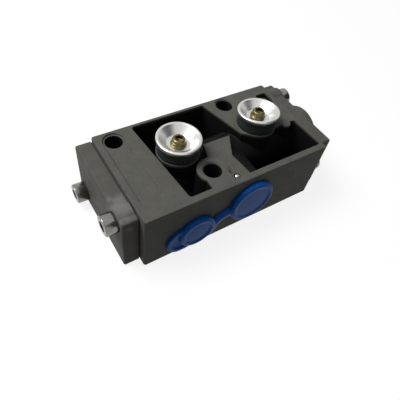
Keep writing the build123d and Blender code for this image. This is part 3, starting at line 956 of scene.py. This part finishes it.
@dataclass
class PortCover:
    """Blue moulded strip over the two front ports: caps, an arched strap and a pull tab."""

    front: float = -28.0 * MM
    reach: float = 3.15 * MM
    supply: tuple[float, float] = (6.2 * MM, 18.7 * MM)
    pilot: tuple[float, float] = (-25.0 * MM, 13.5 * MM)
    supply_cap: float = 12.8 * MM
    pilot_cap: float = 9.9 * MM
    supply_bore: float = 8.12 * MM
    pilot_bore: float = 5.52 * MM
    plug_wall: float = 1.2 * MM
    plug_depth: float = 7.0 * MM
    strap_width: float = 7.0 * MM
    strap_reach: float = 2.3 * MM
    strap_path: tuple[tuple[float, float], ...] = (
        (-17.4, 6.2), (-15.6, 9.6), (-14.2, 12.5), (-12.2, 14.7), (-8.7, 16.2), (-4.4, 16.9), (-0.2, 16.7)
    )
    tab_middle: tuple[float, float] = (-32.5 * MM, 10.9 * MM)
    tab_size: tuple[float, float] = (17.0 * MM, 16.5 * MM)
    tab_round: float = 7.8 * MM
    tab_plate: float = 1.1 * MM
    tab_rim: float = 2.0 * MM
    tab_rim_width: float = 2.3 * MM
    voxel: float = 0.24 * MM
    smoothing: int = 9

    def cap(self, radius: float, place: tuple[float, float]) -> bpy.types.Object:
        """Models a cap with a raised rim, flat on its underside.

        Args:
            radius: Its outer radius.
            place: Where it stands on the front face.

        Returns:
            The cap.
        """
        roll = 1.5 * MM
        crest = radius - 1.9 * MM
        section = [(0.001 * MM, 0.0), (radius, 0.0), (radius, self.reach - roll)]
        section += arc((radius - roll, self.reach - roll), roll, 10, 90, 6)
        section += arc((crest - 0.2 * MM, self.reach - 0.7 * MM), 0.7 * MM, 90, 140, 3)
        dished = self.reach - 0.55 * MM
        section += [(crest - 1.6 * MM, dished), (crest * 0.5, dished + 0.12 * MM), (0.001 * MM, dished + 0.2 * MM)]
        piece = Bench.spun("port_cap", section, 96, solid=True)
        Bench.put(piece, Vector((*place, 0)))
        return piece

    def plug(self, radius: float, place: tuple[float, float]) -> bpy.types.Object:
        """Models the hollow spigot behind a cap.

        Args:
            radius: Its outer radius.
            place: Its axis on the front face.

        Returns:
            The spigot.
        """
        inner = radius - self.plug_wall
        lead = 0.5 * MM
        deep = self.plug_depth
        section = [(0.001 * MM, 1.0 * MM), (radius, 1.0 * MM), (radius, lead - deep), (radius - lead, -deep)]
        section += [(inner, -deep), (inner, -1.0 * MM), (0.001 * MM, -1.0 * MM)]
        piece = Bench.spun("port_plug", section, 96, solid=True)
        Bench.put(piece, Vector((*place, 0)))
        return piece

    def strap(self) -> bpy.types.Object:
        """Models the arched strap, by drawing a flat-backed section along its path.

        Returns:
            The strap.
        """
        path = [Vector((x * MM, y * MM, 0)) for x, y in self.strap_path]
        ways = [(b - a).normalized() for a, b in zip(path, path[1:])]
        ways = [ways[0]] + [(a + b).normalized() for a, b in zip(ways, ways[1:])] + [ways[-1]]
        Bench.clear()
        bpy.ops.mesh.primitive_circle_add(vertices=32, radius=self.strap_width / 2, fill_type="NGON")
        piece = bpy.context.object
        for vertex in piece.data.vertices:
            vertex.co.y = max(0.0, vertex.co.y) * 2 * self.strap_reach / self.strap_width
        across = Vector((ways[0].y, -ways[0].x, 0))
        stand = Matrix((across, Vector((0, 0, 1)), ways[0])).transposed()
        Bench.put(piece, path[0] - ways[0] * self.strap_width * 0.15, stand)
        bpy.ops.object.mode_set(mode="EDIT")
        bpy.ops.mesh.select_all(action="SELECT")
        place = path[0] - ways[0] * self.strap_width * 0.15
        heading = ways[0]
        for point, way in zip(path, ways):
            bpy.ops.mesh.extrude_region_move(TRANSFORM_OT_translate={"value": tuple(point - place)})
            turn = math.atan2(heading.cross(way).z, heading.dot(way))
            if abs(turn) > 0.0001:
                bpy.ops.transform.rotate(value=-turn, orient_axis="Z", center_override=tuple(point))
            place, heading = point, way
        bpy.ops.mesh.select_all(action="SELECT")
        bpy.ops.mesh.normals_make_consistent(inside=False)
        bpy.ops.object.mode_set(mode="OBJECT")
        return piece

    def strap_foot(self) -> bpy.types.Object:
        """Models the round foot of the strap.

        Returns:
            The foot.
        """
        half = self.strap_width / 2
        dome = [(half * math.cos(a), self.strap_reach * math.sin(a)) for a in (0.25, 0.5, 0.75, 1.0, 1.25)]
        section = [(0.001 * MM, 0.0), (half, 0.0), *dome, (0.001 * MM, self.strap_reach)]
        piece = Bench.spun("strap_foot", section, 48, solid=True)
        Bench.put(piece, Vector((self.strap_path[0][0] * MM, self.strap_path[0][1] * MM, 0)))
        return piece

    def tab(self) -> bpy.types.Object:
        """Models the pull tab: a plate with a raised rim round it.

        Returns:
            The tab.
        """
        Bench.clear()
        bpy.ops.mesh.primitive_plane_add(size=1.0)
        piece = bpy.context.object
        piece.scale = (*self.tab_size, 1)
        bpy.ops.object.transform_apply(location=True, rotation=True, scale=True)
        bpy.ops.object.mode_set(mode="EDIT")
        bpy.ops.mesh.select_all(action="SELECT")
        bpy.ops.mesh.bevel(offset=self.tab_round, segments=14, affect="VERTICES")
        bpy.ops.mesh.select_all(action="SELECT")
        bpy.ops.mesh.extrude_region_move(TRANSFORM_OT_translate={"value": (0, 0, self.tab_rim)})
        bpy.ops.mesh.inset(thickness=self.tab_rim_width)
        sink = {"value": (0, 0, self.tab_plate - self.tab_rim)}
        bpy.ops.mesh.extrude_region_move(TRANSFORM_OT_translate=sink)
        bpy.ops.mesh.select_all(action="SELECT")
        bpy.ops.mesh.normals_make_consistent(inside=False)
        bpy.ops.object.mode_set(mode="OBJECT")
        Bench.put(piece, Vector((*self.tab_middle, 0)))
        return piece

    def build(self, material: bpy.types.Material) -> bpy.types.Object:
        """Fuses all parts into one soft moulding.

        Args:
            material: Its material.

        Returns:
            The cover.
        """
        parts = [
            self.cap(self.supply_cap, self.supply),
            self.cap(self.pilot_cap, self.pilot),
            self.strap(),
            self.strap_foot(),
            self.tab(),
            self.plug(self.supply_bore, self.supply),
            self.plug(self.pilot_bore, self.pilot),
        ]
        piece = Bench.join("soft_port_cover", parts)
        fuse = piece.modifiers.new("fuse", "REMESH")
        fuse.mode = "VOXEL"
        fuse.voxel_size = self.voxel
        bpy.ops.object.modifier_apply(modifier=fuse.name)
        melt = piece.modifiers.new("melt", "SMOOTH")
        melt.factor = 0.5
        melt.iterations = self.smoothing
        bpy.ops.object.modifier_apply(modifier=melt.name)
        thin = piece.modifiers.new("thin", "DECIMATE")
        thin.ratio = 0.45
        bpy.ops.object.modifier_apply(modifier=thin.name)
        Bench.put(piece, Vector((0, self.front, 0)), Matrix.Rotation(math.radians(90), 3, "X"))
        return Bench.finish(piece, material, "blue_plastic", stands_for=["port_cover"], smooth_angle=60.0)


@dataclass
class Studio:
    """Pale floor, soft lamps, a dark card for the metal to reflect, and the camera."""

    place: Vector = field(default_factory=lambda: Vector((-94.0, -108.0, 169.0)) * MM)
    look: Vector = field(default_factory=lambda: Vector((0.404, 0.472, -0.784)))
    roll: float = 10.9
    lens: float = 35.33
    sensor: float = 36.0
    floor_size: float = 4.0
    sky: float = 0.17
    floor_tone: float = 0.16
    card_tone: float = 0.12

    def camera(self) -> None:
        """Sets the camera at the viewing angle."""
        data = bpy.data.cameras.new("camera")
        data.lens = self.lens
        data.sensor_width = self.sensor
        data.clip_start = 0.01
        camera = bpy.data.objects.new("camera", data)
        bpy.context.scene.collection.objects.link(camera)
        level = self.look.to_track_quat("-Z", "Y")
        turn = level @ Quaternion((0, 0, 1), math.radians(self.roll))
        camera.matrix_world = Matrix.Translation(self.place) @ turn.to_matrix().to_4x4()
        bpy.context.scene.camera = camera

    def lamp(self, name: str, place: Vector, size: float, power: float) -> None:
        """Hangs a square lamp that looks at the valve.

        Args:
            name: Its name.
            place: Where it hangs.
            size: Side of its square.
            power: Its power in watts.
        """
        data = bpy.data.lights.new(name, "AREA")
        data.shape = "SQUARE"
        data.size = size
        data.energy = power
        lamp = bpy.data.objects.new(name, data)
        bpy.context.scene.collection.objects.link(lamp)
        lamp.matrix_world = Matrix.Translation(place) @ (-place).to_track_quat("-Z", "Y").to_matrix().to_4x4()

    def white(self, sheet: NodeSheet) -> Socket:
        """Says which rays see the backdrop as plain white.

        Args:
            sheet: The sheet of the floor or the world.

        Returns:
            1 for rays that see white.
        """
        rays = sheet.add("LightPath")
        shiny = sheet.math("MAXIMUM", rays.outputs["Is Glossy Ray"], rays.outputs["Is Transmission Ray"])
        return sheet.math("MAXIMUM", rays.outputs["Is Camera Ray"], shiny)

    def world(self) -> None:
        """Lights the room softly and shows it white."""
        world = bpy.data.worlds.new("studio")
        bpy.context.scene.world = world
        world.use_nodes = True
        sheet = NodeSheet(world.node_tree)
        background = world.node_tree.nodes["Background"]
        background.inputs["Color"].default_value = (1.0, 1.0, 1.0, 1.0)
        sheet.feed(background.inputs["Strength"], sheet.spread(self.white(sheet), self.sky, 1.0))

    def backdrop(self, name: str, tone: float, glow: float) -> bpy.types.Material:
        """Builds a matt material that glows for the rays that see white.

        Args:
            name: Its name.
            tone: Its grey.
            glow: How much it glows.

        Returns:
            The material.
        """
        material, sheet, shader = new_material(name)
        shader.inputs["Base Color"].default_value = (tone, tone, tone, 1.0)
        shader.inputs["Roughness"].default_value = 0.9
        shader.inputs["Specular IOR Level"].default_value = 0.0
        shader.inputs["Emission Color"].default_value = (1.0, 1.0, 1.0, 1.0)
        sheet.feed(shader.inputs["Emission Strength"], sheet.spread(self.white(sheet), 0.0, glow))
        return material

    def floor(self) -> None:
        """Lays the pale floor, which keeps the valve's shadow."""
        Bench.clear()
        bpy.ops.mesh.primitive_plane_add(size=self.floor_size, location=(0, 0, -0.02 * MM))
        floor = bpy.context.object
        floor.name = "floor"
        floor.data.materials.append(self.backdrop("pale_floor", self.floor_tone, 1.0 - 0.9 * self.floor_tone))

    def card(self) -> None:
        """Stands a dark card in front on the right, which only polished metal sees."""
        Bench.clear()
        place = Vector((0.4, -0.42, 0.3))
        bpy.ops.mesh.primitive_plane_add(size=0.68)
        card = bpy.context.object
        card.name = "dark_card"
        card.matrix_world = Matrix.Translation(place) @ (-place).to_track_quat("Z", "Y").to_matrix().to_4x4()
        card.data.materials.append(self.backdrop("dark_card", self.card_tone, 0.0))
        for unseen in ("camera", "diffuse", "transmission", "shadow"):
            setattr(card, f"visible_{unseen}", False)

    def build(self) -> None:
        """Builds the whole studio."""
        self.camera()
        self.world()
        self.floor()
        self.card()
        self.lamp("over", Vector((-0.42, 0.34, 0.82)), 0.5, 10.0)
        self.lamp("front", Vector((0.5, -0.7, 0.5)), 0.5, 0.4)
        bpy.context.scene.view_settings.view_transform = "Standard"


# Middle of the polished patch on the left cover, which also carries a painted highlight.
POLISH_AND_HIGHLIGHT_AT = (-57.5 * MM, -15.5 * MM, 33.0 * MM)
# The body's pockets get painted shade; the covers get none.
CAST = CastFinish("dark_casting", (0.088, 0.087, 0.077), marks=0.2 * MM)
COVER = CastFinish("dark_cover", (0.08, 0.078, 0.069), recess=0.0, polish_and_highlight_at=POLISH_AND_HIGHLIGHT_AT, polish_and_highlight=0.55)
GASKET = MouldedFinish("gasket_fibre", (0.06, 0.058, 0.05), (0.035, 0.034, 0.03), 0.8)
ZINC = MetalFinish("zinc_screw", (0.27, 0.262, 0.248), (0.17, 0.163, 0.152), 0.22)
YELLOW = MetalFinish("yellow_zinc", (0.19, 0.158, 0.07), (0.085, 0.07, 0.03), 0.3)
FELT = MouldedFinish("sleeve_felt", (0.044, 0.052, 0.05), (0.02, 0.025, 0.025), 0.75, grain_depth=0.12 * MM)
RUBBER = MouldedFinish("seal_rubber", (0.014, 0.014, 0.015), (0.009, 0.009, 0.01), 0.5)
BLUE = MouldedFinish("blue_plastic", (0.003, 0.09, 0.36), (0.002, 0.07, 0.29), 0.4)
BLACK = MouldedFinish("black_plastic", (0.02, 0.02, 0.021), (0.014, 0.014, 0.014), 0.45)
SPOOL = MetalFinish("ground_spool", (0.75, 0.75, 0.74), (0.66, 0.66, 0.65), 0.2)
WIRE = MetalFinish("spring_wire", (0.4, 0.4, 0.41), (0.3, 0.3, 0.31), 0.32)
BALL = MetalFinish("bearing_steel", (0.42, 0.42, 0.4), (0.34, 0.34, 0.33), 0.2)

PLAIN_SLOTS = {
    "cast_body": CAST,
    "cast_cover": COVER,
    "gasket": GASKET,
    "zinc_screw": ZINC,
    "yellow_zinc": YELLOW,
    "filter_felt": FELT,
    "seal_rubber": RUBBER,
    "blue_plastic": BLUE,
    "black_plastic": BLACK,
    "turned_spool": SPOOL,
    "spring_wire": WIRE,
    "bearing_steel": BALL,
}


def dress_nodes() -> dict[str, bpy.types.Material]:
    """Gives every carried-over node the finish of its slot.

    Returns:
        The material of each slot.
    """
    made = {slot: finish.material() for slot, finish in PLAIN_SLOTS.items()}
    for part in frame["record"]["subparts"]:
        node = frame["nodes"][part["node"]]
        slot = part["material_slot"]
        if slot in made:
            node.data.materials.clear()
            node.data.materials.append(made[slot])
    return made


def spun_aluminium(centre: Vector, side: Side) -> bpy.types.Material:
    """Finish of a spun cap, with its rings round its own axis.

    Args:
        centre: The cap's middle.
        side: The cap's end.

    Returns:
        The material.
    """
    finish = MetalFinish(
        f"{side.value}_spun_aluminium",
        (0.6, 0.6, 0.58),
        (0.54, 0.54, 0.52),
        0.32,
        rings=16000.0,
        centre=(centre.x, centre.y),
    )
    return finish.material()


def main() -> None:
    """Builds the whole scene, sub-assembly by sub-assembly."""
    logging.basicConfig(level=logging.INFO, format="%(name)s: %(message)s")
    made = dress_nodes()
    for side in Side:
        post = ExhaustPost(side)
        post.cap(spun_aluminium(post.middle, side))
        post.screw(made["yellow_zinc"])
        CoverScrews(side).pair(made["zinc_screw"])
    PortCover().build(made["blue_plastic"])
    Studio().build()


if __name__ == "__main__":
    main()
